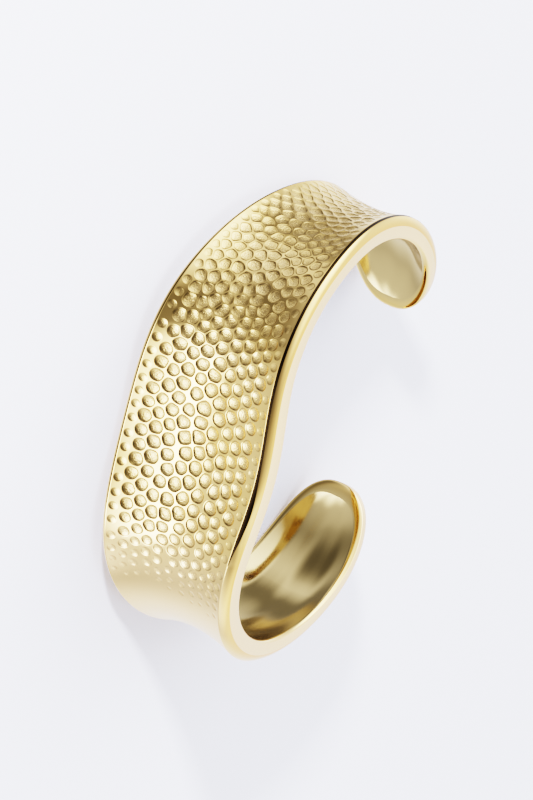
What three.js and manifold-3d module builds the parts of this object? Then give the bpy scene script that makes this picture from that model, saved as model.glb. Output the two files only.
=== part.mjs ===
// An open cuff bangle, one piece of cast metal, lying on its side on a table.
// The wrist passes along Z.  The broad front is at -X, the gap between the two terminals at +X,
// and the long way of the oval is along Y.  Millimetres, +Z up.
//
// The band is drawn flat first, as a strip: "along" runs round the wrist from the middle of the
// front, "across" runs along the wrist, and "height" stands out from the crest of the rims.
// place() then bends the strip round the wrist.
import * as THREE from 'three';
import { mergeVertices } from 'three/addons/utils/BufferGeometryUtils.js';
import Module from 'manifold-3d';

// ---- driving dimensions ------------------------------------------------------------------------

const HALF_LENGTH = 80; // crest of the rim, from the middle of the front to a terminal
const STATION_STEP = 16; // spacing of the rows below, from the front to the terminal

// bend: how fast the band turns, degrees for each millimetre along it
// half: half the width of the hammered face
// rim:  depth of the rim, from its crest to its inner edge
// dip:  how far the middle of the outer face lies below the crest
const STATIONS = [
  { bend: -1.0, half: 11.0, rim: 4.1, dip: 2.1 },
  { bend: 3.0, half: 10.0, rim: 3.9, dip: 2.0 },
  { bend: 2.0, half: 8.5, rim: 3.7, dip: 1.5 },
  { bend: 2.2, half: 7.0, rim: 3.5, dip: 1.5 },
  { bend: 2.5, half: 6.5, rim: 3.2, dip: 0.6 },
  { bend: 2.0, half: 6.5, rim: 3.0, dip: 0.2 },
];

const TIP = { length: 17, power: 2.5 }; // rounding of the terminal's outline
const BOWL = { inset: 1.3, length: 24, power: 2.8, widen: 0.35 }; // outline of the hollow inside
const BOWL_STEEPNESS = 2.8; // how flat the floor of the hollow is before its walls rise
const WALL = 0.9; // metal left between the outer face and the hollow

const FACE_STEP = 0.2; // the face lies this far below the crest where it meets the rim
const CREST_OUT = 0.3; // crest, outwards from the edge of the face
const SIDE_OUT = 0.85; // flat side of the rim, outwards from the edge of the face
const BEAD_DEPTH = 1.5; // from the crest down to where the rounded part meets the flat side
const LIP_ROUND = 0.5; // rounding from the flat side to the inner edge

const DENT_LINES = 11; // lines of hammer dents side by side across the face
const DENT_DEPTH = 0.26;
const DENT_CROWDING = 0.3; // how much closer the lines lie at the rims than in the middle
const DENT_WANDER = 0.14; // how far a dent strays, as a share of its spacing
const DENTS_END = { plus: [52, 62], minus: [30, 48] }; // dents fade out between these, each way

const FLAT_CUT = 0.05; // depth of the small worn flats that it rests on

const COLUMNS_STRAIGHT = 118; // columns of points between the two rounded terminals, even
const COLUMNS_TIP = 9; // further columns on each rounded terminal
const BOWL_STEPS = 8; // facets across the hollow
const CENTRE_LINE_SAMPLES = 800;

const DEGREES = Math.PI / 180;

// ---- the strip's own curves --------------------------------------------------------------------

// A column of the station table at any distance along: a smooth curve through the rows, the same
// on both halves of the band.
function station(name, along) {
  const rows = STATIONS.length;
  const value = (row) => {
    if (row < 0) return STATIONS[-row][name];
    if (row < rows) return STATIONS[row][name];
    return 2 * STATIONS[rows - 1][name] - STATIONS[rows - 2][name];
  };
  const t = Math.abs(along) / STATION_STEP;
  const row = Math.min(Math.floor(t), rows - 2);
  const f = t - row;
  const [a, b, c, d] = [row - 1, row, row + 1, row + 2].map(value);
  return b + 0.5 * f * (c - a + f * (2 * a - 5 * b + 4 * c - d + f * (3 * (b - c) + d - a)));
}

// The crest line seen along the wrist: its turning angle and its place, summed in short steps.
function centreLine() {
  const step = HALF_LENGTH / CENTRE_LINE_SAMPLES;
  const line = [{ angle: 0, x: 0, y: 0 }];
  for (let i = 1; i <= CENTRE_LINE_SAMPLES; i += 1) {
    const last = line[i - 1];
    const turn = (station('bend', (i - 1) * step) + station('bend', i * step)) / 2;
    const angle = last.angle + turn * DEGREES * step;
    const middle = (last.angle + angle) / 2;
    line.push({ angle, x: last.x + Math.sin(middle) * step, y: last.y + Math.cos(middle) * step });
  }
  return line;
}

const LINE = centreLine();

// Bends a point of the strip round the wrist.  Past the terminal the strip runs on straight.
function place(along, across, height) {
  const side = Math.sign(along) || 1;
  const distance = Math.min(Math.abs(along), HALF_LENGTH);
  const past = Math.abs(along) - distance;
  const t = (distance / HALF_LENGTH) * CENTRE_LINE_SAMPLES;
  const i = Math.min(Math.floor(t), CENTRE_LINE_SAMPLES - 1);
  const blend = (name) => THREE.MathUtils.lerp(LINE[i][name], LINE[i + 1][name], t - i);
  const angle = blend('angle');
  const x = blend('x') + past * Math.sin(angle) - height * Math.cos(angle);
  const y = blend('y') + past * Math.cos(angle) + height * Math.sin(angle);
  return new THREE.Vector3(x, side * y, across);
}

// How far round the rounded end a distance along lies: 0 at its start and 1 at its tip.
function endShare(along, end, round) {
  return Math.max(0, (Math.abs(along) - (end - round.length)) / round.length);
}

// What is left of the half width there.
function taper(share, power) {
  return Math.max(0, 1 - share ** power) ** (1 / power);
}

const BOWL_END = HALF_LENGTH - BOWL.inset;

function faceHalf(along) {
  return station('half', along) * taper(endShare(along, HALF_LENGTH, TIP), TIP.power);
}

function bowlHalf(along) {
  const share = endShare(along, BOWL_END, BOWL);
  return (station('half', along) + BOWL.widen) * taper(share, BOWL.power);
}

// 0 on the spine and 1 on the outline, measured so that it follows the rounded end.
function reach(along, share, end, round) {
  const q = Math.min(1, endShare(along, end, round));
  const p = round.power;
  return ((Math.abs(share) * taper(q, p)) ** p + q ** p) ** (1 / p);
}

function faceHeight(along, share) {
  const out = reach(along, share, HALF_LENGTH, TIP);
  return -FACE_STEP - (station('dip', along) - FACE_STEP) * (1 - out * out);
}

function bowlHeight(along, share) {
  const out = reach(along, share, BOWL_END, BOWL);
  const rim = station('rim', along);
  const depth = rim - WALL - station('dip', along);
  return -rim + depth * (1 - out ** BOWL_STEEPNESS);
}

// ---- columns of points along the strip -----------------------------------------------------------

function columnPlaces() {
  const straight = HALF_LENGTH - TIP.length;
  const places = [];
  for (let i = 0; i < COLUMNS_STRAIGHT; i += 1) {
    places.push(straight * (2 * i / COLUMNS_STRAIGHT - 1));
  }
  for (let i = 0; i <= COLUMNS_TIP; i += 1) {
    const phi = (i / COLUMNS_TIP) * Math.PI / 2;
    const distance = straight + TIP.length * Math.sin(phi) ** (2 / TIP.power);
    places.push(distance);
    if (i > 0) places.unshift(-distance);
  }
  return places;
}

const COLUMNS = columnPlaces();
const LAST = COLUMNS.length - 1;

// ---- the mesh ------------------------------------------------------------------------------------

const points = [];
const triangles = [];

function addPoint(along, across, height) {
  points.push(place(along, across, height));
  return points.length - 1;
}

// A closed outline in the strip: up the near side, round one tip, back on the far side.
function outline(half, scale) {
  const near = COLUMNS.map((along) => new THREE.Vector2(along * scale, half(along * scale)));
  near[0].y = 0;
  near[LAST].y = 0;
  const far = near.slice(1, LAST).reverse().map((p) => new THREE.Vector2(p.x, -p.y));
  return near.concat(far);
}

function outwards(ring) {
  return ring.map((_, i) => {
    const before = ring[(i + ring.length - 1) % ring.length];
    const after = ring[(i + 1) % ring.length];
    const run = after.clone().sub(before).normalize();
    return new THREE.Vector2(-run.y, run.x);
  });
}

const FACE_EDGE = outline(faceHalf, 1);
const OUTWARDS = outwards(FACE_EDGE);
const BOWL_EDGE = outline(bowlHalf, BOWL_END / HALF_LENGTH);

function rimRing(out, heightAt) {
  return FACE_EDGE.map((p, i) => {
    const q = p.clone().addScaledVector(OUTWARDS[i], out);
    return addPoint(q.x, q.y, heightAt(p.x));
  });
}

function lipRing(turn) {
  const inwards = 1 - Math.cos(turn);
  return FACE_EDGE.map((p, i) => {
    const side = p.clone().addScaledVector(OUTWARDS[i], SIDE_OUT);
    const q = side.lerp(BOWL_EDGE[i], inwards);
    const height = -station('rim', q.x) + LIP_ROUND * (1 - Math.sin(turn));
    return addPoint(q.x, q.y, height);
  });
}

// Joins two rings of the same length with pairs of triangles.
function stitchRings(inner, outer) {
  inner.forEach((_, i) => {
    const j = (i + 1) % inner.length;
    triangles.push([inner[i], outer[i], inner[j]], [inner[j], outer[i], outer[j]]);
  });
}

// Joins two columns of points, each listed with its place across, from the near edge to the far one.
function stitchColumns(left, right, flip) {
  let i = 0;
  let j = 0;
  while (i < left.length - 1 || j < right.length - 1) {
    const stepLeft = j === right.length - 1
      || (i < left.length - 1 && left[i + 1].share > right[j + 1].share);
    const next = stepLeft ? left[i + 1] : right[j + 1];
    const triangle = [left[i].id, right[j].id, next.id];
    triangles.push(flip ? triangle.reverse() : triangle);
    if (stepLeft) i += 1;
    else j += 1;
  }
}

// Small, regular-looking wanderings, so that no two dents sit quite alike.
function wander(i, j, turn) {
  return Math.sin(1.7 * i + 2.3 * j + turn) * Math.sin(2.9 * i - 1.1 * j + 2 * turn);
}

// 1 where the face is fully hammered and 0 where it is smooth.
function hammered(along) {
  const [start, end] = along > 0 ? DENTS_END.plus : DENTS_END.minus;
  return 1 - THREE.MathUtils.smoothstep(Math.abs(along), start, end);
}

// The face is a net of points whose every third one is the bottom of a dent.  Dents of even and
// odd columns are staggered, which packs them like a honeycomb.
const EDGE_STEPS = (3 * (DENT_LINES + 1)) / 4; // net steps from the middle of the face to its edge

function crowd(t) {
  return t + (DENT_CROWDING / Math.PI) * Math.sin(Math.PI * t);
}

function faceColumn(column, nearEdge, farEdge) {
  const along = COLUMNS[column];
  if (column === 0 || column === LAST) return [{ id: nearEdge[column], share: 0 }];
  const odd = Math.abs(column - COLUMNS_TIP) % 2;
  const list = [{ id: nearEdge[column], share: 1 }];
  const count = odd ? 2 * EDGE_STEPS : 2 * EDGE_STEPS - 1;
  const straight = Math.abs(along) < HALF_LENGTH - TIP.length;
  for (let k = 0; k < count; k += 1) {
    const net = (count - 1) / 2 - k;
    const dent = odd ? (Math.abs(net) + 1.5) % 3 === 0 : net % 3 === 0;
    const stray = straight ? DENT_WANDER * hammered(along) : 0;
    const edge = Math.abs(net) > EDGE_STEPS - 1 ? 0 : 1;
    const share = crowd((net + edge * stray * wander(column, net, 0)) / EDGE_STEPS);
    const pitch = COLUMNS[column + 1] - along;
    const at = along + edge * stray * pitch * wander(column, net, 1);
    const depth = dent ? DENT_DEPTH * hammered(along) : 0;
    const across = share * faceHalf(at);
    list.push({ id: addPoint(at, across, faceHeight(at, share) - depth), share });
  }
  list.push({ id: farEdge[column], share: -1 });
  return list;
}

function bowlColumn(column, nearEdge, farEdge) {
  if (column === 0 || column === LAST) return [{ id: nearEdge[column], share: 0 }];
  const along = (COLUMNS[column] * BOWL_END) / HALF_LENGTH;
  const list = [{ id: nearEdge[column], share: 1 }];
  for (let k = 1; k < BOWL_STEPS; k += 1) {
    const share = 1 - (2 * k) / BOWL_STEPS;
    const across = share * bowlHalf(along);
    list.push({ id: addPoint(along, across, bowlHeight(along, share)), share });
  }
  list.push({ id: farEdge[column], share: -1 });
  return list;
}

function fillWithColumns(ring, makeColumn, flip) {
  const farEdge = ring.map((_, i) => ring[(ring.length - i) % ring.length]);
  const columns = COLUMNS.map((_, i) => makeColumn(i, ring, farEdge));
  for (let i = 0; i < LAST; i += 1) {
    stitchColumns(columns[i], columns[i + 1], flip);
  }
}

function cuffMesh() {
  const faceEdge = rimRing(0, () => -FACE_STEP);
  const crest = rimRing(CREST_OUT, () => 0);
  const bead = [30, 60, 90].map((degrees) => {
    const turn = degrees * DEGREES;
    const out = CREST_OUT + (SIDE_OUT - CREST_OUT) * Math.sin(turn);
    return rimRing(out, () => -BEAD_DEPTH * (1 - Math.cos(turn)));
  });
  const lip = [0, 45, 90].map((degrees) => lipRing(degrees * DEGREES));
  const rings = [faceEdge, crest, ...bead, ...lip];
  for (let i = 1; i < rings.length; i += 1) {
    stitchRings(rings[i - 1], rings[i]);
  }
  fillWithColumns(faceEdge, faceColumn, false);
  fillWithColumns(rings[rings.length - 1], bowlColumn, true);
}

// ---- lying at rest -------------------------------------------------------------------------------

// The front is wider than the terminals, so the cuff leans a little until it stands on three
// points: the middle of the front's lower rim and the lower rim of each terminal.
function leanAngle() {
  const middle = LINE[CENTRE_LINE_SAMPLES >> 1].x;
  const lowest = (angle, isBack) => {
    const heights = points
      .filter((p) => p.x > middle === isBack)
      .map((p) => p.z * Math.cos(angle) - p.x * Math.sin(angle));
    return heights.reduce((a, b) => Math.min(a, b));
  };
  let low = 0;
  let high = 15 * DEGREES;
  for (let i = 0; i < 40; i += 1) {
    const angle = (low + high) / 2;
    if (lowest(angle, true) > lowest(angle, false)) low = angle;
    else high = angle;
  }
  return low;
}

cuffMesh();

const wasm = await Module();
wasm.setup();

function toSolid(geometry) {
  return new wasm.Manifold(new wasm.Mesh({
    numProp: 3,
    vertProperties: new Float32Array(geometry.getAttribute('position').array),
    triVerts: new Uint32Array(geometry.index.array),
  }));
}

function cuffGeometry() {
  const geometry = new THREE.BufferGeometry().setFromPoints(points);
  geometry.setIndex(triangles.flat());
  geometry.rotateY(leanAngle());
  geometry.computeBoundingBox();
  geometry.translate(0, 0, -geometry.boundingBox.min.z - FLAT_CUT);
  return geometry;
}

// Everything below the table's surface, merged to eight corners.
function tableGeometry() {
  const size = 4 * HALF_LENGTH;
  const box = new THREE.BoxGeometry(size, size, size).translate(0, 0, -size / 2);
  const corners = new THREE.BufferGeometry().setAttribute('position', box.getAttribute('position'));
  corners.setIndex(box.index);
  return mergeVertices(corners);
}

function restingCuff() {
  const cut = toSolid(cuffGeometry()).subtract(toSolid(tableGeometry())).getMesh();
  const geometry = new THREE.BufferGeometry();
  geometry.setAttribute('position', new THREE.BufferAttribute(cut.vertProperties, cut.numProp));
  geometry.setIndex(new THREE.BufferAttribute(cut.triVerts, 1));
  geometry.computeBoundingBox();
  const centre = geometry.boundingBox.getCenter(new THREE.Vector3());
  geometry.translate(-centre.x, -centre.y, 0);
  geometry.computeVertexNormals();
  return geometry;
}

const gold = new THREE.MeshStandardMaterial({ color: 0xe3c583, metalness: 1, roughness: 0.16 });

const cuff = new THREE.Mesh(restingCuff(), gold);
cuff.name = 'cuff';

const bangle = new THREE.Group();
bangle.add(cuff);

export default bangle;
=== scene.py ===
# %% [markdown]
# # A hammered cuff bangle
#
# A cuff like this is one casting with a pale gold finish: a band about 160 mm long, bent round the
# wrist, with a gap between its two rounded ends. Hammer marks cover the outer face, a smooth
# rounded rim runs all the way round it, and the inside is hollowed out and polished.
#
# The CAD model is loaded first. It stays where it is, and the finished piece takes its place.

import math

import bpy
import numpy as np
from mathutils import Matrix, Vector
from mathutils.geometry import delaunay_2d_cdt


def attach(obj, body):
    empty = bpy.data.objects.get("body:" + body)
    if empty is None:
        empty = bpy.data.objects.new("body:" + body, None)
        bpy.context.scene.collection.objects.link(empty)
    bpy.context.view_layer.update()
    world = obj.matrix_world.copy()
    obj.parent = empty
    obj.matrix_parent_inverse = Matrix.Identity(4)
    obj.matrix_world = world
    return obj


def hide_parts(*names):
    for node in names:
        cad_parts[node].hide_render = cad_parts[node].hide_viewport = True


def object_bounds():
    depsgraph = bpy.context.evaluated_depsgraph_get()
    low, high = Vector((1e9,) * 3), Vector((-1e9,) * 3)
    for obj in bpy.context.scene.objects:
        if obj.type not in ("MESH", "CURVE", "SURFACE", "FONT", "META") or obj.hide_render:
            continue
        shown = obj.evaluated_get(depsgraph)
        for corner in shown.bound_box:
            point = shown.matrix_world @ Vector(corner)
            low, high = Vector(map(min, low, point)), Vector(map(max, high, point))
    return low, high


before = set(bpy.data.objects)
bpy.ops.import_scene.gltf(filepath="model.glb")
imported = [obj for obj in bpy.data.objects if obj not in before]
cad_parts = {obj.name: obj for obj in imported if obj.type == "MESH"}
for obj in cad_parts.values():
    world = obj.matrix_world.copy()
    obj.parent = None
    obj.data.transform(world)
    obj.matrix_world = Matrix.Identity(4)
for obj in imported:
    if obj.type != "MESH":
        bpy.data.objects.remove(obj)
cad_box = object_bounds()
MM = 0.001
print("CAD box in mm:", [[round(c / MM, 2) for c in corner] for corner in cad_box])

# %% [markdown]
# ## The camera
#
# A long lens from well back keeps the two ends of the cuff the same size, as in jewellery
# pictures. The camera looks down at the broad front, and it is rolled so that the cuff, which
# lies on its side on the table, runs up the picture. Direction, roll and distance are easier to
# adjust as separate values than as one matrix, so the matrix is worked out from them.

# %% Camera
VIEW_AZIMUTH = math.radians(-113.58)
VIEW_ELEVATION = math.radians(32.69)
VIEW_ROLL = math.radians(117.76)
VIEW_DISTANCE = 686.8 * MM
VIEW_LENS = 225  # on a 36 mm sensor
AIM_FROM_MIDDLE = Vector((-1.91, 2.87, -4.52)) * MM

box_middle = (cad_box[0] + cad_box[1]) / 2
towards_camera = Vector((
    math.sin(VIEW_AZIMUTH) * math.cos(VIEW_ELEVATION),
    -math.cos(VIEW_AZIMUTH) * math.cos(VIEW_ELEVATION),
    math.sin(VIEW_ELEVATION),
))
aim = box_middle + AIM_FROM_MIDDLE
camera_turn = towards_camera.to_track_quat("Z", "Y").to_matrix().to_4x4()
camera = bpy.data.objects.new("camera", bpy.data.cameras.new("camera"))
bpy.context.scene.collection.objects.link(camera)
camera.data.sensor_width = 36
camera.data.lens = VIEW_LENS
camera.data.clip_start = 0.05
camera.data.clip_end = 20
camera_place = Matrix.Translation(aim + towards_camera * VIEW_DISTANCE)
camera.matrix_world = camera_place @ camera_turn @ Matrix.Rotation(VIEW_ROLL, 4, "Z")
bpy.context.scene.camera = camera
print("camera at mm:", [round(c / MM) for c in camera.location])

# %% [markdown]
# ## Nodes written as sums
#
# Both the shapes and the finishes below are node trees. Adding each node by hand hides the idea
# behind the wiring, so a Wire stands for one socket and can be added, multiplied and divided
# like a number. Any other node comes from Bench.node, which takes its type, its settings and
# what goes into its sockets.

# %% Node helpers
class Wire:
    """One output socket that can be used in sums."""

    def __init__(self, bench, socket):
        self.bench = bench
        self.socket = socket

    def __add__(self, other):
        return self.bench.maths("ADD", self, other)

    def __radd__(self, other):
        return self.bench.maths("ADD", other, self)

    def __sub__(self, other):
        return self.bench.maths("SUBTRACT", self, other)

    def __rsub__(self, other):
        return self.bench.maths("SUBTRACT", other, self)

    def __mul__(self, other):
        return self.bench.maths("MULTIPLY", self, other)

    def __rmul__(self, other):
        return self.bench.maths("MULTIPLY", other, self)

    def __truediv__(self, other):
        return self.bench.maths("DIVIDE", self, other)


class Bench:
    """A node tree, with one way to add a node to it."""

    def __init__(self, tree):
        self.tree = tree

    def node(self, kind, settings=None, inputs=None, output=0):
        made = self.tree.nodes.new(kind)
        for name, value in (settings or {}).items():
            setattr(made, name, value)
        for key, value in (inputs or {}).items():
            socket = made.inputs[key]
            if isinstance(value, Wire):
                self.tree.links.new(value.socket, socket)
            else:
                socket.default_value = value
        return Wire(self, made.outputs[output]) if len(made.outputs) else made

    def maths(self, operation, *values):
        return self.node("ShaderNodeMath", {"operation": operation}, dict(enumerate(values)))

    def also(self, wire, output):
        """Another output of the node that a wire comes from."""
        return Wire(self, wire.socket.node.outputs[output])


class ShapeBench(Bench):
    """A Geometry Nodes tree with named inputs, which takes in a shape and gives one back."""

    def __init__(self, name, inputs):
        tree = bpy.data.node_groups.new(name, "GeometryNodeTree")
        super().__init__(tree)
        tree.interface.new_socket("Geometry", in_out="INPUT", socket_type="NodeSocketGeometry")
        for label, kind in inputs.items():
            tree.interface.new_socket(label, in_out="INPUT", socket_type=kind)
        tree.interface.new_socket("Geometry", in_out="OUTPUT", socket_type="NodeSocketGeometry")
        self.entry = tree.nodes.new("NodeGroupInput")

    def given(self, name):
        return Wire(self, self.entry.outputs[name])

    def give_back(self, geometry, finish):
        whole = self.node("GeometryNodeRealizeInstances", inputs={0: geometry})
        painted = self.node("GeometryNodeSetMaterial", inputs={"Geometry": whole, "Material": finish})
        leave = self.tree.nodes.new("NodeGroupOutput")
        self.tree.links.new(painted.socket, leave.inputs[0])


def shaped(mesh, bench, values):
    """The plain mesh that a tree makes of another, with the tree's named inputs set."""
    blank = bpy.data.objects.new(mesh.name, mesh)
    bpy.context.scene.collection.objects.link(blank)
    modifier = blank.modifiers.new(bench.tree.name, "NODES")
    modifier.node_group = bench.tree
    for item in bench.tree.interface.items_tree:
        if item.in_out == "INPUT" and item.name in values:
            modifier[item.identifier] = values[item.name]
    depsgraph = bpy.context.evaluated_depsgraph_get()
    made = bpy.data.meshes.new_from_object(blank.evaluated_get(depsgraph))
    bpy.data.objects.remove(blank)
    return made


# %% [markdown]
# ## The finish: pale gold in six states
#
# The crown of the rim and the metal between the marks are polished like a mirror. The bottoms of
# the marks keep the sandy skin of the casting, because no polishing wheel reaches them. The flat
# side of the rim and the smooth turn below the marks are brushed, and the hollow inside is
# satin, in a gold about half as bright: painted shade for the inside of the band. Towards its
# outer side the crown deepens to a warmer gold, a painted darker reflection. The groove beside
# the rim, the foot of each mark and, round the upper turn, the top of each mark's edge are
# painted near black: painted shade in the creases.
#
# One material covers them all. Five attributes on the strip below say which is where: the
# sandy skin, the satin with its painted shade, the brushed parts, the crown's painted shade and
# the painted shade in the creases. A fine noise roughens the sandy skin, and a broad one lets
# the depth of the gold drift a little, so that no part is one flat colour.

# %% Gold
GOLD_LIGHT = (0.97, 0.68, 0.32, 1)
GOLD_DEEP = (0.93, 0.585, 0.18, 1)
# painted shade: the satin hollow is painted in a gold about half as bright, for the shade inside the band
GOLD_SATIN_SHADED = (0.52, 0.385, 0.18, 1)
GOLD_BRUSHED = (0.98, 0.67, 0.35, 1)
# painted reflection: a deeper, warmer gold laid on the crown towards its outer side
GOLD_CROWN_SHADE = (0.87, 0.46, 0.12, 1)
# painted shade: near black for the groove beside the rim and the edges of the marks
GOLD_PAINTED_SHADE = (0.02, 0.012, 0.006, 1)
GRAIN_SIZE = 0.24 * MM
GRAIN_DEPTH = 0.075 * MM
POLISHED_ROUGHNESS = 0.07
SANDY_ROUGHNESS = 0.15
SATIN_ROUGHNESS = 0.13
BRUSHED_ROUGHNESS = 0.24
# the painted shade of the creases is also rougher
PAINTED_SHADE_ROUGHENS = 0.3
GRAIN_ROUGHENS = 0.2  # how much the grain varies the roughness of the sandy skin
SANDY_GAIN = 1.6  # the skin is fully sandy well before the middle of a mark
CLOUD_SCALE = 180
COLOUR_BASE = 0.3  # how deep the gold is where the broad noise is at nothing
COLOUR_DRIFT = 0.7  # and how much deeper where it is at its most
GRAIN_CONTRAST = 2.0  # the grain lightens the sandy skin by this much
GRAIN_LIFT = 0.8  # less this much

gold = bpy.data.materials.new("pale_gold")
gold.use_nodes = True
gold.node_tree.nodes.clear()
bench = Bench(gold.node_tree)
pressed, satin, brushed, worn, tarnish = (
    bench.node("ShaderNodeAttribute", {"attribute_name": name}, output="Fac")
    for name in ("pressed", "satin", "brushed", "worn", "tarnish")
)
place_on_object = bench.node("ShaderNodeTexCoord", output="Object")
grain = bench.node(
    "ShaderNodeTexNoise",
    inputs={"Vector": place_on_object, "Scale": 1 / GRAIN_SIZE, "Detail": 3, "Roughness": 0.6},
)
cloud = bench.node(
    "ShaderNodeTexNoise",
    inputs={"Vector": place_on_object, "Scale": CLOUD_SCALE, "Detail": 2},
)
sandy = bench.node("ShaderNodeClamp", inputs={0: pressed * SANDY_GAIN})
drifting = cloud * COLOUR_DRIFT + COLOUR_BASE
depth_of_colour = bench.node(
    "ShaderNodeClamp",
    inputs={0: drifting - sandy * (grain * GRAIN_CONTRAST - GRAIN_LIFT)},
)


def mixed(share, under, over):
    """One colour laid over another."""
    ends = {"Factor": share, "A": under, "B": over}
    return bench.node("ShaderNodeMix", {"data_type": "RGBA"}, ends, output=2)


colour = mixed(depth_of_colour, GOLD_LIGHT, GOLD_DEEP)
# the satin, crown and crease tones laid over the gold are painted shade
for share, tone in (
    (satin, GOLD_SATIN_SHADED),
    (brushed, GOLD_BRUSHED),
    (worn, GOLD_CROWN_SHADE),
    (tarnish, GOLD_PAINTED_SHADE),
):
    colour = mixed(share, colour, tone)
roughness = (
    POLISHED_ROUGHNESS
    + sandy * (SANDY_ROUGHNESS - POLISHED_ROUGHNESS)
    + (grain - 0.5) * sandy * GRAIN_ROUGHENS
    + satin * (SATIN_ROUGHNESS - POLISHED_ROUGHNESS)
    + brushed * (BRUSHED_ROUGHNESS - POLISHED_ROUGHNESS)
    + tarnish * PAINTED_SHADE_ROUGHENS
)
bumps = bench.node(
    "ShaderNodeBump",
    inputs={"Strength": 1, "Distance": GRAIN_DEPTH, "Height": grain * sandy},
)
skin = bench.node(
    "ShaderNodeBsdfPrincipled",
    inputs={"Base Color": colour, "Metallic": 1, "Roughness": roughness, "Normal": bumps},
)
bench.node("ShaderNodeOutputMaterial", inputs={"Surface": skin})

# %% [markdown]
# ## The band as a flat strip
#
# A goldsmith forges the band flat and then bends it. The model is made the same way, because a
# flat strip is easy to measure: "along" runs from the middle of the front to an end, "across"
# runs over the width, and "height" stands up from the crest of the rim. All are in millimetres.
# The table gives the sizes of the band every 16 mm, and a smooth curve runs through its rows.
# The rows are the same as in the CAD model.

# %% Sizes of the strip
HALF_LENGTH = 80
STATION_STEP = 16
STATIONS = {
    "bend": [-1.0, 3.0, 2.0, 2.2, 2.5, 2.0],  # degrees for each millimetre along
    "half": [11.0, 10.0, 8.5, 7.0, 6.5, 6.5],  # half the width of the hammered face
    "rim": [4.1, 3.9, 3.7, 3.5, 3.2, 3.0],  # depth of the rim, crest to inner edge
    "dip": [2.1, 2.0, 1.5, 1.5, 0.6, 0.2],  # how far the middle of the face lies below the crest
}
TIP_LENGTH, TIP_POWER = 17, 2.5  # rounding of the ends
BOWL_INSET, BOWL_LENGTH, BOWL_POWER = 1.3, 24, 2.8  # outline of the hollow inside
BOWL_WIDEN = 0.35  # the hollow is this much wider than the face on each side
BOWL_STEEPNESS = 2.3  # how flat the floor of the hollow is before its walls rise
WALL = 0.9  # metal between the face and the hollow, less the depth of a mark where there is one
BOWL_END = HALF_LENGTH - BOWL_INSET
FACE_STEP = 0.02  # the outline of the face lies this far below the crest
SIDE_OUT = 0.86  # the flat side of the rim lies this far outside the face
LIP_ROUND = 0.5
FLUTES = 3  # soft lengthwise waves over the width of the hollow
FLUTE_DEPTH = 0.1


def station(name, along):
    """A row of the table at any distance along, by a smooth curve through its values."""
    rows = STATIONS[name]
    values = np.array([rows[1], *rows, 2 * rows[-1] - rows[-2]])
    t = np.abs(along) / STATION_STEP
    row = np.minimum(np.floor(t).astype(int), len(rows) - 2)
    f = t - row
    a, b, c, d = (values[row + k] for k in range(4))
    return b + 0.5 * f * (c - a + f * (2 * a - 5 * b + 4 * c - d + f * (3 * (b - c) + d - a)))


def end_share(along, end, length):
    """How far round the rounded end a place lies: 0 at its start and 1 at its tip."""
    return np.maximum(0, (np.abs(along) - (end - length)) / length)


def taper(share, power):
    """What is left of the half width there."""
    return np.maximum(0, 1 - share**power) ** (1 / power)


def face_half(along):
    return station("half", along) * taper(end_share(along, HALF_LENGTH, TIP_LENGTH), TIP_POWER)


def bowl_half(along):
    share = end_share(along, BOWL_END, BOWL_LENGTH)
    return (station("half", along) + BOWL_WIDEN) * taper(share, BOWL_POWER)


def reach(along, share, end, length, power):
    """0 on the spine and 1 on the outline, measured so that it follows the rounded end."""
    q = np.minimum(1, end_share(along, end, length))
    return ((np.abs(share) * taper(q, power)) ** power + q**power) ** (1 / power)


def face_height(along, across):
    share = across / np.maximum(face_half(along), 1e-6)
    out = np.minimum(1, reach(along, share, HALF_LENGTH, TIP_LENGTH, TIP_POWER))
    return -FACE_STEP - (station("dip", along) - FACE_STEP) * (1 - out * out)


def bowl_height(along, share):
    out = reach(along, share, BOWL_END, BOWL_LENGTH, BOWL_POWER)
    rim = station("rim", along)
    waves = FLUTE_DEPTH * np.cos(FLUTES * math.pi * share) * (1 - out * out)
    return -rim + (rim - WALL - station("dip", along)) * (1 - out**BOWL_STEEPNESS) + waves


print("face half width in mm, front and terminal:", face_half(np.array([0, 60])))

# %% [markdown]
# ## The hammer marks
#
# The marks sit in eleven lines, staggered like a honeycomb and a little closer at the rims. The
# lines drift as the goldsmith's hand does, no two blows land quite where they should, and each
# mark has its own size. Placing some 400 of them is a job for Geometry Nodes: a grid of points
# gets its stagger, crowding, drift and wander from a few sums, and each point carries the radius
# of its mark. A guide curve hands the half width of the band to the tree.

# %% Marks tree
MARK_LINES = 11
MARKS_IN_A_LINE = 59
MARK_PITCH = 2.12
MARK_CROWDING = 0.1
MARK_WANDER = 0.26
MARK_DRIFT = 1.6
MARK_RADIUS = 1.12
MARK_SIZE_VARIES = 0.1
DRIFT_SCALE = 0.09

marks_bench = ShapeBench("hammer_marks", {
    "Guide": "NodeSocketObject",
    "Marks in a line": "NodeSocketInt",
    "Lines": "NodeSocketInt",
    "Pitch": "NodeSocketFloat",
    "Crowding": "NodeSocketFloat",
    "Wander": "NodeSocketFloat",
    "Drift": "NodeSocketFloat",
    "Radius": "NodeSocketFloat",
    "Seed": "NodeSocketInt",
    "Finish": "NodeSocketMaterial",
})
given = marks_bench.given
in_line = given("Marks in a line")
lines = given("Lines")
pitch = given("Pitch")
grid = marks_bench.node("GeometryNodeMeshGrid", inputs={
    "Size X": pitch * (in_line - 1),
    "Size Y": lines - 1,
    "Vertices X": in_line,
    "Vertices Y": lines,
})
spot = marks_bench.node("ShaderNodeSeparateXYZ", inputs={0: marks_bench.node("GeometryNodeInputPosition")})
line = marks_bench.also(spot, "Y")
stagger = marks_bench.maths("ABSOLUTE", marks_bench.maths("MODULO", marks_bench.maths("ROUND", line), 2))
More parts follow.
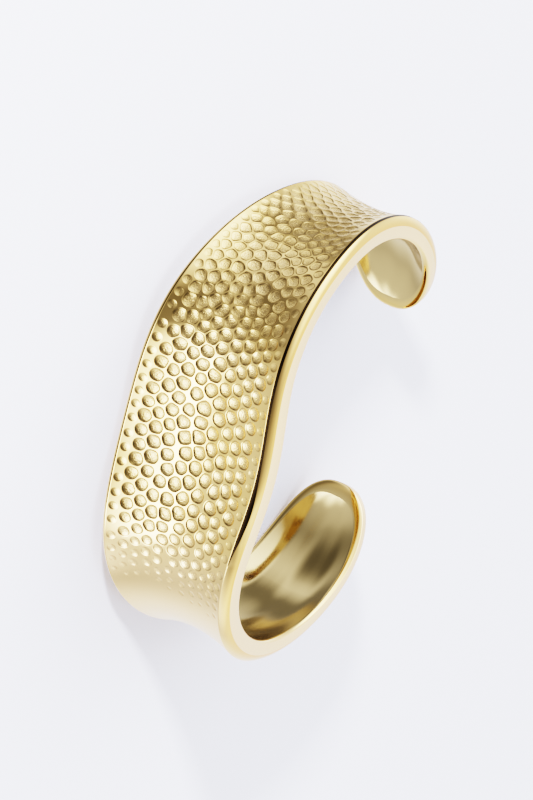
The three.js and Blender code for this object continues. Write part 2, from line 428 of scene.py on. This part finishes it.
jitter = marks_bench.node("ShaderNodeSeparateXYZ", inputs={0: marks_bench.node(
    "FunctionNodeRandomValue",
    {"data_type": "FLOAT_VECTOR"},
    {"Min": (-1, -1, -1), "Max": (1, 1, 1), "Seed": given("Seed")},
)})
across_jitter = marks_bench.also(jitter, "Y")
size_jitter = marks_bench.also(jitter, "Z")
drift = marks_bench.node("ShaderNodeSeparateXYZ", inputs={0: marks_bench.node(
    "ShaderNodeTexNoise",
    {"noise_dimensions": "4D"},
    {"W": given("Seed"), "Scale": DRIFT_SCALE, "Detail": 1},
    output="Color",
)})
along_drift = given("Drift") * (drift - 0.5)
across_drift = given("Drift") * (marks_bench.also(drift, "Y") - 0.5)
mark_along = spot + (0.5 * stagger + along_drift + given("Wander") * jitter) * pitch
mark_across = (line + across_drift + given("Wander") * across_jitter) / (lines * 0.5)
crowded = mark_across + given("Crowding") / math.pi * marks_bench.maths("SINE", mark_across * math.pi)
elbow_room = 1 + given("Crowding") * marks_bench.maths("COSINE", mark_across * math.pi)
guide = marks_bench.node("GeometryNodeObjectInfo", inputs={"Object": given("Guide")}, output="Geometry")
half = marks_bench.node(
    "GeometryNodeSampleCurve",
    {"mode": "LENGTH"},
    {
        "Curves": guide,
        "Value": marks_bench.node("GeometryNodeInputNamedAttribute", inputs={"Name": "half"}),
        "Length": marks_bench.maths("ABSOLUTE", mark_along),
    },
)
sized = marks_bench.node("GeometryNodeStoreNamedAttribute", inputs={
    "Geometry": grid,
    "Name": "radius",
    "Value": given("Radius") * elbow_room * (1 + MARK_SIZE_VARIES * size_jitter),
})
moved = marks_bench.node("GeometryNodeSetPosition", inputs={
    "Geometry": sized,
    "Position": marks_bench.node("ShaderNodeCombineXYZ", inputs={"X": mark_along, "Y": crowded * half}),
})
marks_bench.give_back(moved, given("Finish"))

# %% [markdown]
# ## The guide
#
# The guide is the crest line of the band as seen along the wrist, from the middle of the front
# to one end. It is drawn in short steps that turn a little more or less, as the table says, and
# it knows the half width of the face at each step.

# %% Guide curve
GUIDE_STEPS = 800


def guide_line():
    step = HALF_LENGTH / GUIDE_STEPS
    bend = np.radians(station("bend", np.arange(GUIDE_STEPS + 1) * step))
    turned = np.cumsum((bend[:-1] + bend[1:]) / 2 * step)
    middle = turned - (bend[:-1] + bend[1:]) / 4 * step
    steps = np.stack([np.sin(middle), np.cos(middle), 0 * middle], axis=1) * step
    return np.vstack([[0, 0, 0], np.cumsum(steps, axis=0)])


guide_points = guide_line()
guide_curve = bpy.data.hair_curves.new("guide")
guide_curve.add_curves([len(guide_points)])
guide_curve.set_types(type="POLY")
guide_curve.position_data.foreach_set("vector", guide_points.astype(np.float32).ravel())
half_widths = face_half(np.linspace(0, HALF_LENGTH, len(guide_points)))
half_of_guide = guide_curve.attributes.new("half", "FLOAT", "POINT")
half_of_guide.data.foreach_set("value", half_widths.astype(np.float32))
guide_object = bpy.data.objects.new("guide", guide_curve)
bpy.context.scene.collection.objects.link(guide_object)

mark_mesh = shaped(bpy.data.meshes.new("marks"), marks_bench, {
    "Guide": guide_object,
    "Marks in a line": MARKS_IN_A_LINE,
    "Lines": MARK_LINES,
    "Pitch": MARK_PITCH,
    "Crowding": MARK_CROWDING,
    "Wander": MARK_WANDER,
    "Drift": MARK_DRIFT,
    "Radius": MARK_RADIUS,
    "Seed": 7,
    "Finish": gold,
})
mark_places = np.array([v.co[:2] for v in mark_mesh.vertices])
mark_radii = np.array([a.value for a in mark_mesh.attributes["radius"].data])
print("marks made:", len(mark_places), "radius from", mark_radii.min(), "to", mark_radii.max())

# %% [markdown]
# ## The outline of each mark
#
# The hammer slips off an old mark, so marks that fall close together are first moved apart a
# little. A mark then starts as a circle of its own radius. Where two are still close, a narrow
# ridge of smooth metal stays between them and the circles flatten against it. The same rule as
# for soap bubbles does this: each mark stops at a line between it and its neighbour, and a
# smooth minimum rounds the corners. The marks stop short of the rim. Towards the ends of the
# band the blows get lighter. The hammer's face is a ball, so a lighter blow leaves a mark that
# is both smaller and shallower. Round the upper turn the marks are flatter, as if the bending
# had pressed them.

# %% Outlines
ROUND_POINTS = 16
RIDGE = 0.13
RIM_MARGIN = 0.42
OUTER_RADIUS = 0.65  # the outermost marks keep room for this radius
CORNER_SHARPNESS = 10
SMALLEST_MARK = 0.35
MARK_DEPTH = 0.42
UPPER_TURN = {"start": 14, "end": 30}  # the marks get flatter from the start to the end of this
FLATTENED = 0.35  # share of its depth that a mark beyond it has lost
BLOWS_FADE = {"plus": (52, 62), "minus": (9, 25)}  # where the blows get lighter, each way
LIGHT_BLOW_POWER = 0.5  # how the radius of a mark follows its blow
SPREAD_ROUNDS = 3
SPREAD_TO = 2.3  # marks closer than this are moved apart
SPREAD_PUSH = 0.25  # by this share of what is missing, each time
LEAST_DISTANCE = 0.1  # keeps a push between marks that almost coincide from growing without end
NEIGHBOURHOOD = 4  # marks that are farther apart can't meet
LEAST_FACING = 0.02
LEAST_REACH = 0.05


def blow(along):
    """How heavy the blows are: 1 on the front and 0 where the face is smooth."""
    start = np.where(along > 0, BLOWS_FADE["plus"][0], BLOWS_FADE["minus"][0])
    end = np.where(along > 0, BLOWS_FADE["plus"][1], BLOWS_FADE["minus"][1])
    return 1 - np.clip((np.abs(along) - start) / (end - start), 0, 1)


def spread(places):
    """The places after those that are too close have moved apart, along the band and across it."""
    for _ in range(SPREAD_ROUNDS):
        offsets = places[:, None] - places[None]
        distances = np.hypot(offsets[..., 0], offsets[..., 1])
        reach_for = SPREAD_TO * np.minimum(1, face_half(places[:, 0]) / STATIONS["half"][0])
        push = np.clip(reach_for[:, None] - distances, 0, None) * (distances > 0)
        pushes = push[..., None] * offsets / np.maximum(distances, LEAST_DISTANCE)[..., None]
        places = places + SPREAD_PUSH * pushes.sum(1)
        edge = face_half(places[:, 0]) - RIM_MARGIN - OUTER_RADIUS
        places[:, 1] = np.clip(places[:, 1], -edge, edge)
    return places


def outline_radii(places, radii, directions):
    """How far each mark reaches in each direction."""
    found = []
    for place, radius in zip(places, radii):
        offsets = places - place
        distances = np.hypot(*offsets.T)
        near = (distances > 0) & (distances < NEIGHBOURHOOD)
        dividing = distances[near] * radius / (radius + radii[near]) - RIDGE / 2
        facing = (offsets[near] / distances[near, None]) @ directions.T
        stops = dividing[:, None] / np.maximum(facing, LEAST_FACING)
        stops = np.vstack([stops, np.full(len(directions), radius)])
        powers = np.maximum(stops, LEAST_REACH) ** -CORNER_SHARPNESS
        found.append(powers.sum(0) ** (-1 / CORNER_SHARPNESS))
    return np.array(found)


angles = np.arange(ROUND_POINTS) * 2 * math.pi / ROUND_POINTS
directions = np.stack([np.cos(angles), np.sin(angles)], axis=1)
mark_places = spread(mark_places)
mark_radii = mark_radii * blow(mark_places[:, 0]) ** LIGHT_BLOW_POWER
mark_radii = np.minimum(mark_radii, face_half(mark_places[:, 0]) - np.abs(mark_places[:, 1]) - RIM_MARGIN)
kept = mark_radii > SMALLEST_MARK
mark_places, mark_radii = mark_places[kept], mark_radii[kept]
mark_reach = outline_radii(mark_places, mark_radii, directions)
kept = mark_reach.mean(1) > SMALLEST_MARK
mark_places, mark_reach = mark_places[kept], mark_reach[kept]
mark_weights = np.minimum(1, mark_reach.mean(1) / MARK_RADIUS) ** 2
turn_length = UPPER_TURN["end"] - UPPER_TURN["start"]
mark_turns = np.clip((mark_places[:, 0] - UPPER_TURN["start"]) / turn_length, 0, 1)
mark_depths = MARK_DEPTH * mark_weights * (1 - FLATTENED * mark_turns)
print("marks kept:", len(mark_places), "mean radius:", mark_reach.mean())

# %% [markdown]
# ## The net of points
#
# Crisp marks need mesh edges that follow their outlines, which a plain grid that is pushed in
# doesn't have. So the strip is laid as a net of points in four kinds of patch: rings for the rim,
# a grid for the hollow inside, rings for each mark, and loose points between the marks. Each
# point carries its place on the strip and its share of each finish. The columns below set the
# places along the band, and they crowd towards the tips, where the outline turns.

# %% Columns and outlines of the strip
COLUMN_STEP = 0.36
TIP_COLUMNS = 34
FACE_END = HALF_LENGTH - TIP_LENGTH


def column_places():
    straight = np.linspace(-FACE_END, FACE_END, round(2 * FACE_END / COLUMN_STEP) + 1)
    phi = np.arange(1, TIP_COLUMNS + 1) / TIP_COLUMNS * math.pi / 2
    tip = FACE_END + TIP_LENGTH * np.sin(phi) ** (2 / TIP_POWER)
    return np.concatenate([-tip[::-1], straight, tip])


def closed_outline(columns, half):
    """Up the near side, round one tip, and back on the far side."""
    near = np.stack([columns, half(columns)], axis=1)
    near[[0, -1], 1] = 0
    return np.vstack([near, near[-2:0:-1] * [1, -1]])


def outwards(ring):
    run = np.roll(ring, -1, 0) - np.roll(ring, 1, 0)
    run /= np.hypot(*run.T)[:, None]
    return np.stack([-run[:, 1], run[:, 0]], axis=1)


columns = column_places()
face_edge = closed_outline(columns, face_half)
edge_out = outwards(face_edge)
bowl_edge = closed_outline(columns * BOWL_END / HALF_LENGTH, bowl_half)
print("points round the rim:", len(face_edge))

# %% The net
points = []
looks = {"pressed": [], "satin": [], "brushed": [], "worn": [], "tarnish": []}
faces = []


def add_points(flat, heights, **look):
    """Adds points to the net and gives their numbers."""
    first = len(points)
    heights = np.broadcast_to(heights, len(flat))
    points.extend(np.column_stack([flat, heights]).tolist())
    for name, values in looks.items():
        values.extend(np.broadcast_to(look.get(name, 0.0), len(flat)).tolist())
    return np.arange(first, first + len(flat))


def stitch_rings(inner, outer):
    after_inner, after_outer = np.roll(inner, -1), np.roll(outer, -1)
    faces.extend(np.column_stack([inner, after_inner, after_outer]).tolist())
    faces.extend(np.column_stack([inner, after_outer, outer]).tolist())


def stitch_doubling(inner, outer):
    """Joins a ring to one outside it with twice as many points, turning the other way round."""
    for k in range(len(inner)):
        a, b = inner[k], inner[(k + 1) % len(inner)]
        p, q, r = outer[2 * k], outer[2 * k + 1], outer[(2 * k + 2) % len(outer)]
        faces.extend([(a, p, q), (a, q, b), (b, q, r)])


# %% [markdown]
# ## The rim
#
# From the hammered face outwards, the rim is a narrow, shallow groove painted near black, a crown
# that falls away over a rounded shoulder, a crisp edge and a flat brushed side. A small rounding
# leads on into the satin hollow. The groove separates the hammered metal from the polished rim;
# its black floor is painted shade for the crease. It lies just inside the outline of the face,
# where the crown doesn't hide it. On the upper side it opens out near the turn of the band and
# then runs out in a point. Across the crown the gold deepens towards the outer edge, a painted
# darker reflection. The whole rim is a row of rings, each one the outline of the face moved
# outwards and lowered by a rule.

# %% Rim
RIM_START = -0.25  # the groove starts this far inside the outline of the face
CREASE = 0.08  # a ring this far from the groove keeps its edge crisp
GROOVE_WALL = 0.05
GROOVE_DEPTH = 0.02
GROOVE_WIDTH = {"upper": 0.4, "lower": 0.1}
GROOVE_SWELL, SWELL_PLACE, SWELL_LENGTH = 0.4, -4.5, 4.0
GROOVE_END, GROOVE_END_LENGTH = -12.5, 4.0
GROOVE_POINT = 0.7  # how blunt the groove's point is
GROOVE_LEAST = 0.02
DARK_FROM = 0.03  # a groove this much wider than the least is fully dark
SHOULDER_DEPTH = 0.42  # the crown bends round a shoulder this far below its start
SHOULDER_SHARE = 0.75  # and this far along its width
CROWN_DEPTH = 1.35
EDGE_OUT = 0.82
EDGE_FALL = 0.05  # the crisp edge is a narrow facet, this high
EDGE_WIDTH = 0.01  # and this wide
SIDE_LEVEL = 1.6  # the flat side's middle ring lies this many crown depths down
CROWN_STEPS = 12
LIP_STEPS = 8


def groove_width(flat):
    along, across = flat.T
    width = np.where(across > 0, GROOVE_WIDTH["upper"], GROOVE_WIDTH["lower"])
    swell = GROOVE_SWELL * np.exp(-(((along - SWELL_PLACE) / SWELL_LENGTH) ** 2))
    left = np.clip((along - GROOVE_END) / GROOVE_END_LENGTH, 0, 1)
    return np.maximum(GROOVE_LEAST, (width + np.where(across > 0, swell, 0)) * left**GROOVE_POINT)


def rim_ring(out, height, **look):
    flat = face_edge + edge_out * np.broadcast_to(out, len(face_edge))[:, None]
    return add_points(flat, height, **look)


def lip_ring(turned):
    side = face_edge + edge_out * SIDE_OUT
    flat = side + (bowl_edge - side) * (1 - math.cos(turned))
    height = -station("rim", flat[:, 0]) + LIP_ROUND * (1 - math.sin(turned))
    round_the_lip = turned / (math.pi / 2)
    # the lip turns from brushed to satin, and with the satin comes its painted shade
    satin = max(0, 2 * round_the_lip - 1)
    return add_points(flat, height, satin=satin, brushed=max(0, 1 - 2 * round_the_lip))


inner_flat = face_edge + edge_out * (RIM_START - CREASE)
inner_ring = add_points(inner_flat, face_height(*inner_flat.T))
groove = groove_width(face_edge)
# how far the groove's floor is painted near black as painted shade, fully where the groove is wide
dark = np.minimum(1, (groove - GROOVE_LEAST) / DARK_FROM)
top = face_height(*(face_edge + edge_out * RIM_START).T)
floor = top - GROOVE_DEPTH * dark
floor_out = RIM_START + GROOVE_WALL
crown_out = floor_out + groove
rim_rings = [
    inner_ring,
    rim_ring(RIM_START, top),
    rim_ring(floor_out, floor, tarnish=dark),
]
shoulder_out = crown_out + (EDGE_OUT - crown_out) * SHOULDER_SHARE
for k in range(CROWN_STEPS + 1):
    u = k / CROWN_STEPS
    start, shoulder, end = (1 - u) ** 2, 2 * u * (1 - u), u * u
    out = start * crown_out + shoulder * shoulder_out + end * EDGE_OUT
    height = start * floor + shoulder * (floor - SHOULDER_DEPTH) - end * CROWN_DEPTH
    # the crown's gold deepens from its start to its edge, a painted darker reflection; its first ring keeps
    # the groove's painted shade
    rim_rings.append(rim_ring(out, height, worn=u, tarnish=dark if k == 0 else 0))
rim_rings.append(rim_ring(EDGE_OUT + EDGE_WIDTH, -CROWN_DEPTH - EDGE_FALL, brushed=1.0))
rim_rings.append(rim_ring(SIDE_OUT, -SIDE_LEVEL * CROWN_DEPTH, brushed=1.0))
for k in range(LIP_STEPS + 1):
    rim_rings.append(lip_ring(k / LIP_STEPS * math.pi / 2))
for inner, outer in zip(rim_rings, rim_rings[1:]):
    stitch_rings(inner, outer)
print("after the rim:", len(points), "points,", len(faces), "triangles")

# %% [markdown]
# ## The hollow inside
#
# The band isn't a solid bar. Its back is scooped out like a long, shallow spoon, which saves gold
# and keeps the bangle light. The goldsmith scrapes it lengthwise, so soft waves run along it. It
# is a grid: one row of points over the width for each column, and closer together at the lip.

# %% Hollow inside
BOWL_ACROSS = 26


def fill_bowl(edge):
    count = len(columns)
    far = [edge[(len(edge) - i) % len(edge)] for i in range(count)]
    rows = [[edge[0]] * (BOWL_ACROSS + 1)]
    for i in range(1, count - 1):
        along = np.full(BOWL_ACROSS - 1, columns[i] * BOWL_END / HALF_LENGTH)
        share = np.cos(np.arange(1, BOWL_ACROSS) / BOWL_ACROSS * math.pi)
        across = share * bowl_half(along)
        # the hollow is satin throughout, with its painted shade
        inside = add_points(np.column_stack([along, across]), bowl_height(along, share), satin=1.0)
        rows.append([edge[i], *inside, far[i]])
    rows.append([edge[count - 1]] * (BOWL_ACROSS + 1))
    for left, right in zip(rows, rows[1:]):
        for k in range(BOWL_ACROSS):
            for corner in ((left[k], right[k], right[k + 1]), (left[k], right[k + 1], left[k + 1])):
                if len(set(corner)) == 3:
                    faces.append(corner)


fill_bowl(rim_rings[-1])
print("after the hollow:", len(points), "points,", len(faces), "triangles")

# %% [markdown]
# ## The shape of a mark
#
# A ball-faced hammer leaves a shallow bowl with a steep little edge. The bowl is bare of polish
# and sandy, and its edge is the crisp line that catches the light. A few rings are enough for
# that: one half way out, two near the edge, one at the foot of the edge, one at its top, and a
# lip just outside, which keeps the crease narrow. The inner ring has half as many points, so
# that each of the marks stays light.

# %% Hammer marks
RING_SHARES = [(0.5, 2), (0.84, 1), (1.0, 1)]  # share of the radius, and every which point
# painted shade: the foot of each mark's steep edge is painted near black, more so round the upper turn,
# where the top of the edge is painted dark as well
DARK_FOOT = {"front": 0.7, "turn": 1.0}  # how far the foot of the steep edge has gone dark
DARK_TOP = 0.5  # and its top, at the upper turn
BOWL_OF_MARK = 2.0  # power of the bowl's profile
MARK_EDGE = 0.1  # the steep edge of a mark is this wide
EDGE_STEP = 0.11  # and this deep
LIP = 0.06
lips = []
for place, reaches, depth, weight, turn in zip(
    mark_places, mark_reach, mark_depths, mark_weights, mark_turns
):
    step = EDGE_STEP * weight
    dark_foot = DARK_FOOT["front"] + (DARK_FOOT["turn"] - DARK_FOOT["front"]) * turn
    rings = []
    for share, every in RING_SHARES:
        flat = place + (directions * (reaches[:, None] - MARK_EDGE) * share)[::every]
        hollow = step + (depth - step) * (1 - share**BOWL_OF_MARK)
        heights = face_height(flat[:, 0], flat[:, 1]) - hollow
        # the foot ring, and round the upper turn the top ring, take the painted shade
        foot = dark_foot * weight if share == 1 else 0
        rings.append(add_points(flat, heights, pressed=(1 - share**2) * weight, tarnish=foot))
    for out, top in ((0, DARK_TOP * weight * turn), (LIP, 0)):
        flat = place + directions * (reaches[:, None] + out)
        rings.append(add_points(flat, face_height(flat[:, 0], flat[:, 1]), tarnish=top))
    bottom = face_height(place[:1], place[1:]) - depth
    centre = add_points(place[None], bottom, pressed=weight)[0]
    first = rings[0]
    faces.extend((centre, a, b) for a, b in zip(first, np.roll(first, -1)))
    stitch_doubling(rings[0], rings[1])
    for inner, outer in zip(rings[1:], rings[2:]):
        # these rings turn the other way from the rim's
        faces.extend(zip(inner, outer, np.roll(outer, -1)))
        faces.extend(zip(inner, np.roll(outer, -1), np.roll(inner, -1)))
    lips.append(rings[-1])
print("after the marks:", len(points), "points,", len(faces), "triangles")

# %% [markdown]
# ## The smooth metal between the marks
#
# The ridges between the marks are what is left of the smooth face. Loose points are spread over
# it in a honeycomb that keeps clear of the marks. Delaunay triangles then join them to the lips
# of the marks and to the groove, because they avoid slivers, which would spoil the reflections.

# %% Smooth metal between the marks
FILL_STEP = 0.6
FILL_REACH = 20  # steps to each side of the middle line
CLEAR_OF_RIM = 0.65
CLEAR_OF_TIP = 0.75
CLEAR_OF_LIP = 0.22
NEAR_A_MARK = 0.5  # points farther beyond a mark than this needn't be tested


def fill_places():
    """A honeycomb of loose points that keeps clear of the marks and the rim."""
    row_step = FILL_STEP * math.sqrt(3) / 2
    rows = round(2 * HALF_LENGTH / row_step)
    found = []
    for row in range(rows + 1):
        along = -HALF_LENGTH + row * row_step
        if abs(along) >= HALF_LENGTH - CLEAR_OF_TIP:
            continue
        half_room = face_half(np.array([along]))[0] - CLEAR_OF_RIM
        start = (row % 2) * FILL_STEP / 2 - FILL_REACH * FILL_STEP
        across = np.arange(start, FILL_REACH * FILL_STEP, FILL_STEP)
        found.extend((along, y) for y in across if abs(y) < half_room)
    found = np.array(found)
    clear = np.ones(len(found), bool)
    for place, reaches in zip(mark_places, mark_reach):
        offset = found - place
        distance = np.hypot(*offset.T)
        close = distance < reaches.max() + NEAR_A_MARK
        heading = np.arctan2(offset[close, 1], offset[close, 0]) % (2 * math.pi)
        edge = np.interp(heading, np.append(angles, 2 * math.pi), np.append(reaches, reaches[0]))
        clear[close] &= distance[close] > edge + LIP + CLEAR_OF_LIP
    return found[clear]


loose_flat = fill_places()
loose = add_points(loose_flat, face_height(loose_flat[:, 0], loose_flat[:, 1]))
net = np.concatenate([inner_ring, *lips, loose])
flat = np.array(points)[net, :2]
edges = []
start = 0
for ring in [inner_ring, *lips]:
    edges.extend((start + k, start + (k + 1) % len(ring)) for k in range(len(ring)))
    start += len(ring)
cdt = delaunay_2d_cdt([Vector(p) for p in flat], edges, [], 1, 1e-6)
origins = [ids[0] if ids else None for ids in cdt[3]]
print("Delaunay points in and out:", len(flat), len(cdt[0]), "unmatched:", origins.count(None))
owner = np.full(len(flat), -1)
for k in range(len(lips)):
    first = len(inner_ring) + k * ROUND_POINTS
    owner[first : first + ROUND_POINTS] = k
for corners in cdt[2]:
    a, b, c = (origins[i] for i in corners)
    if not (owner[a] >= 0 and owner[a] == owner[b] == owner[c]):
        faces.append((net[a], net[b], net[c]))
print("net:", len(points), "points,", len(faces), "triangles")

# %% [markdown]
# ## The brushed lower turn
#
# Below the last marks the band turns away smooth, and it is brushed like the side of the rim. The
# brushed look fades in and out along the band. The points are complete with it, and the net
# becomes a mesh.

# %% The brushed lower turn
BRUSHED_TURN = {"start": -10, "end": -55, "fade": 10, "share": 0.7}
point_along = np.array(points)[:, 0]
into = np.clip((BRUSHED_TURN["start"] - point_along) / BRUSHED_TURN["fade"], 0, 1)
out_of = np.clip((point_along - BRUSHED_TURN["end"]) / BRUSHED_TURN["fade"], 0, 1)
elsewhere = np.maximum(looks["satin"], looks["worn"])
turn_brushed = BRUSHED_TURN["share"] * into * out_of * (1 - elsewhere)
looks["brushed"] = np.maximum(looks["brushed"], turn_brushed)

strip = bpy.data.meshes.new("cuff_strip")
strip.from_pydata(points, [], [tuple(int(i) for i in f) for f in faces])
for name, values in looks.items():
    strip.attributes.new(name, "FLOAT", "POINT").data.foreach_set("value", np.array(values, np.float32))

# %% [markdown]
# ## Bending the strip round the wrist
#
# A tree bends the strip as the goldsmith does over a mandrel: "along" is measured on the guide,
# and "height" stands square to it. The half of the strip with a negative "along" is the mirror
# image of the other. Past the end of the guide the strip runs on straight. The bend turns the
# net inside out, so its faces are flipped.

# %% Bend tree
bend_bench = ShapeBench("bend_round_the_wrist", {
    "Guide": "NodeSocketObject",
    "Length": "NodeSocketFloat",
    "Finish": "NodeSocketMaterial",
})
given = bend_bench.given
spot = bend_bench.node("ShaderNodeSeparateXYZ", inputs={0: bend_bench.node("GeometryNodeInputPosition")})
spot_across = bend_bench.also(spot, "Y")
spot_height = bend_bench.also(spot, "Z")
side = bend_bench.maths("SIGN", spot)
distance = bend_bench.maths("ABSOLUTE", spot)
on_guide = bend_bench.maths("MINIMUM", distance, given("Length"))
past = distance - on_guide
guide = bend_bench.node("GeometryNodeObjectInfo", inputs={"Object": given("Guide")}, output="Geometry")
sampled = bend_bench.node(
    "GeometryNodeSampleCurve",
    {"mode": "LENGTH"},
    {"Curves": guide, "Length": on_guide},
    output="Position",
)
crest = bend_bench.node("ShaderNodeSeparateXYZ", inputs={0: sampled})
heading = bend_bench.node("ShaderNodeSeparateXYZ", inputs={0: bend_bench.also(sampled, "Tangent")})
crest_y, heading_y = bend_bench.also(crest, "Y"), bend_bench.also(heading, "Y")
bent = bend_bench.node("ShaderNodeCombineXYZ", inputs={
    "X": crest + past * heading - spot_height * heading_y,
    "Y": side * (crest_y + past * heading_y + spot_height * heading),
    "Z": spot_across,
})
moved = bend_bench.node("GeometryNodeSetPosition", inputs={"Geometry": given("Geometry"), "Position": bent})
flipped = bend_bench.node("GeometryNodeFlipFaces", inputs={0: moved})
bend_bench.give_back(flipped, given("Finish"))
cuff_mesh = shaped(strip, bend_bench, {"Guide": guide_object, "Length": float(HALF_LENGTH), "Finish": gold})
bpy.data.objects.remove(guide_object)

# %% [markdown]
# ## Lying at rest
#
# The front is wider than the two ends, so the cuff leans until it stands on three places: the
# middle of the front's lower rim, and the lower rim of each end. Halving an interval finds the
# lean at which all three are level. Wear has left a tiny flat on each.

# %% Rest
FLAT_CUT = 0.05
STEEPEST_LEAN = math.radians(15)
HALVINGS = 40


def lean_angle(bent_points):
    back = bent_points[:, 0] > guide_points[GUIDE_STEPS // 2, 0]
    low, high = 0, STEEPEST_LEAN
    for _ in range(HALVINGS):
        angle = (low + high) / 2
        heights = bent_points[:, 2] * math.cos(angle) - bent_points[:, 0] * math.sin(angle)
        if heights[back].min() > heights[~back].min():
            low = angle
        else:
            high = angle
    return low


bent_points = np.zeros(len(cuff_mesh.vertices) * 3)
cuff_mesh.vertices.foreach_get("co", bent_points)
bent_points = bent_points.reshape(-1, 3)
lean = lean_angle(bent_points)
leaned = bent_points @ np.array(Matrix.Rotation(-lean, 3, "Y"))
leaned[:, 2] -= leaned[:, 2].min() + FLAT_CUT
leaned[:, 2] = np.maximum(leaned[:, 2], 0)
middle = (leaned.max(0) + leaned.min(0)) / 2
leaned[:, :2] -= middle[:2]
leaned = leaned * MM
print("lean in degrees:", round(math.degrees(lean), 3))
cuff_mesh.vertices.foreach_set("co", leaned.ravel())
cuff_mesh.update()
cuff_mesh.shade_smooth()

bangle = bpy.data.objects.new("hammered_cuff", cuff_mesh)
bpy.context.scene.collection.objects.link(bangle)
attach(bangle, "root")
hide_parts("cuff")
print("cuff triangles:", len(cuff_mesh.polygons))

# %% [markdown]
# ## Table and light
#
# Polished metal shows the room round it, so most of its look comes from the room. A jewellery
# photographer puts a tent of white cloth round the piece, lights parts of it from outside, and
# hangs black cards where the metal should go dark. The world here is such a tent: a low glow,
# bright panels that are added to it, and black cards that take a share of it away. Each one is a
# soft round patch in one direction, which is easier to steer than dozens of lamps.
#
# Two lamps light the pale table: the key throws the shadow, and the fill keeps the table pale.
# The lamps and the table stay out of the reflections, where the tent stands in for them.

# %% Table
TABLE_HALF = 3.0  # metres
TABLE_COLOUR = (0.79, 0.81, 0.96, 1)
TABLE_ROUGHNESS = 0.8
table_mesh = bpy.data.meshes.new("table")
corners = [(-1, -1, 0), (1, -1, 0), (1, 1, 0), (-1, 1, 0)]
table_mesh.from_pydata([tuple(TABLE_HALF * c for c in corner) for corner in corners], [], [(0, 1, 2, 3)])
table = bpy.data.objects.new("table", table_mesh)
bpy.context.scene.collection.objects.link(table)
paper = bpy.data.materials.new("pale_table")
paper.use_nodes = True
paper.node_tree.nodes.clear()
bench = Bench(paper.node_tree)
skin = bench.node(
    "ShaderNodeBsdfPrincipled",
    inputs={"Base Color": TABLE_COLOUR, "Roughness": TABLE_ROUGHNESS},
)
bench.node("ShaderNodeOutputMaterial", inputs={"Surface": skin})
table_mesh.materials.append(paper)
table.visible_glossy = False

# %% Light
world = bpy.data.worlds.new("studio")
world.use_nodes = True
world.node_tree.nodes.clear()
bench = Bench(world.node_tree)
sky_direction = bench.node("ShaderNodeTexCoord", output="Generated")


def direction(azimuth, elevation):
    """Towards an azimuth, 0 along -Y and 90 along +X, and an elevation, in degrees."""
    a, e = math.radians(azimuth), math.radians(elevation)
    return Vector((math.sin(a) * math.cos(e), -math.cos(a) * math.cos(e), math.sin(e)))


def patch(azimuth, elevation, inner, outer):
    """1 within the inner angle of a direction, and 0 beyond the outer one."""
    facing = bench.node(
        "ShaderNodeVectorMath",
        {"operation": "DOT_PRODUCT"},
        {0: sky_direction, 1: direction(azimuth, elevation)},
        output="Value",
    )
    return bench.node("ShaderNodeMapRange", {"interpolation_type": "SMOOTHSTEP"}, {
        "Value": facing,
        "From Min": math.cos(math.radians(outer)),
        "From Max": math.cos(math.radians(inner)),
    })


ROOM_COLOUR = (0.96, 0.97, 1, 1)
LAMP_COLOUR = (0.93, 0.95, 1)
ROOM_GLOW = 0.3
# each is azimuth, elevation, angle of its even middle, angle where it ends, and brightness
PANELS = {
    "wall in front": (-70, 0, 0, 30, 12),
    "wall all round the front": (-60, -10, 0, 75, 1),
    "wall beyond the upper turn": (180, 45, 30, 60, 5),
    "wall beyond the lower turn": (-20, 40, 20, 50, 2),
    "low beyond the upper turn": (-155, -35, 10, 40, 1.5),
    "wall at the gap": (60, -20, 30, 70, 1.5),
    "wall beyond the gap": (120, 0, 0, 40, 1),
    "ceiling": (0, 90, 40, 80, 2),
}
# the last number is the share of the light that the card takes away
CARDS = {
    "high in front": (-90, 60, 0, 90, 0.95),
    "under the camera": (-140, -40, 0, 35, 0.9),
}
room = ROOM_GLOW
for *place, brightness in PANELS.values():
    room = room + brightness * patch(*place)
for *place, share in CARDS.values():
    room = room * (1 - share * patch(*place))
glow = bench.node("ShaderNodeBackground", inputs={"Color": ROOM_COLOUR, "Strength": room})
bench.node("ShaderNodeOutputWorld", inputs={"Surface": glow})
bpy.context.scene.world = world
bpy.context.scene.view_settings.view_transform = "Filmic"
bpy.context.scene.view_settings.look = "High Contrast"


def softbox(name, azimuth, elevation, distance, size, power):
    """A square soft light that faces the cuff and stays out of the reflections."""
    light = bpy.data.lights.new(name, "AREA")
    light.size = size
    light.energy = power
    light.color = LAMP_COLOUR
    lamp = bpy.data.objects.new(name, light)
    bpy.context.scene.collection.objects.link(lamp)
    away = direction(azimuth, elevation)
    lamp.location = box_middle + away * distance
    lamp.rotation_euler = away.to_track_quat("Z", "Y").to_euler()
    lamp.visible_glossy = False


softbox("key", azimuth=-138, elevation=19, distance=0.6, size=0.05, power=10.5)
softbox("fill", azimuth=0, elevation=90, distance=0.9, size=0.8, power=5.4)
